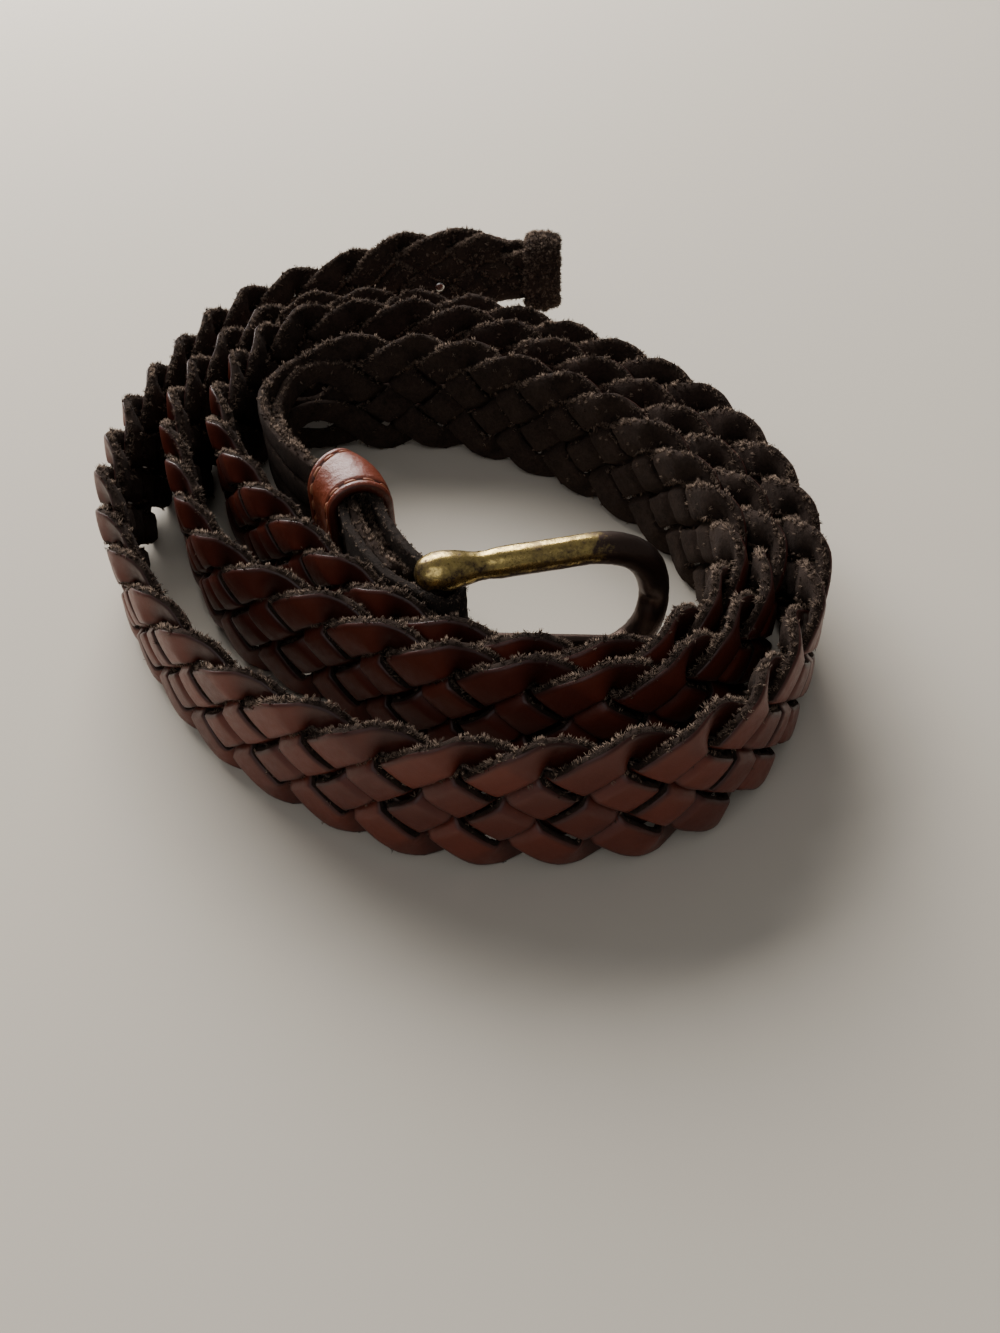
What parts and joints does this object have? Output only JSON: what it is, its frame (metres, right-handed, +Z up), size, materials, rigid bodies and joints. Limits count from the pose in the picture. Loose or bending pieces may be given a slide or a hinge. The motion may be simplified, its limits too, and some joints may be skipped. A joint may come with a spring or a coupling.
{
  "type": "braided leather belt",
  "caption": "Plaited leather belt coiled on its edge, with a drawn-in tail, a leather keeper and a horseshoe buckle whose frame and prong swing on the bar.",
  "frame": {"origin": "on the ground under the middle of the coiled belt's bounding box", "axes": "+Z up, across the belt's width; -Y is the front of the coil as pictured, with the tail at +Y and the buckle inside"},
  "size_m": [0.1322, 0.162, 0.033],
  "materials": {
    "strip_leather": "smooth red-brown grain with fuzzy grey-brown flesh side",
    "trim_leather": "smooth red-brown",
    "strap_leather": "worn dark brown",
    "brass": "aged, with dark patina"
  },
  "bodies": {
    "belt": {"strand_1": "strip_leather", "strand_2": "strip_leather", "strand_3": "strip_leather", "strand_4": "strip_leather", "strand_5": "strip_leather", "end_wrap": "trim_leather", "keeper": "trim_leather", "buckle_strap": "strap_leather"},
    "buckle": {"buckle_frame": "brass"},
    "prong": {"prong": "brass"}
  },
  "joints": [
    {"name": "buckle_swing", "type": "hinge", "parent": "belt", "child": "buckle", "pos_m": [0.00047, -0.04149, 0.0166], "axis": [0, 0, 1], "range_deg": [-3, 85]},
    {"name": "prong_swing", "type": "hinge", "parent": "buckle", "child": "prong", "pos_m": [0.00047, -0.04149, 0.0166], "axis": [0, 0, 1], "range_deg": [-3, 7]}
  ]
}
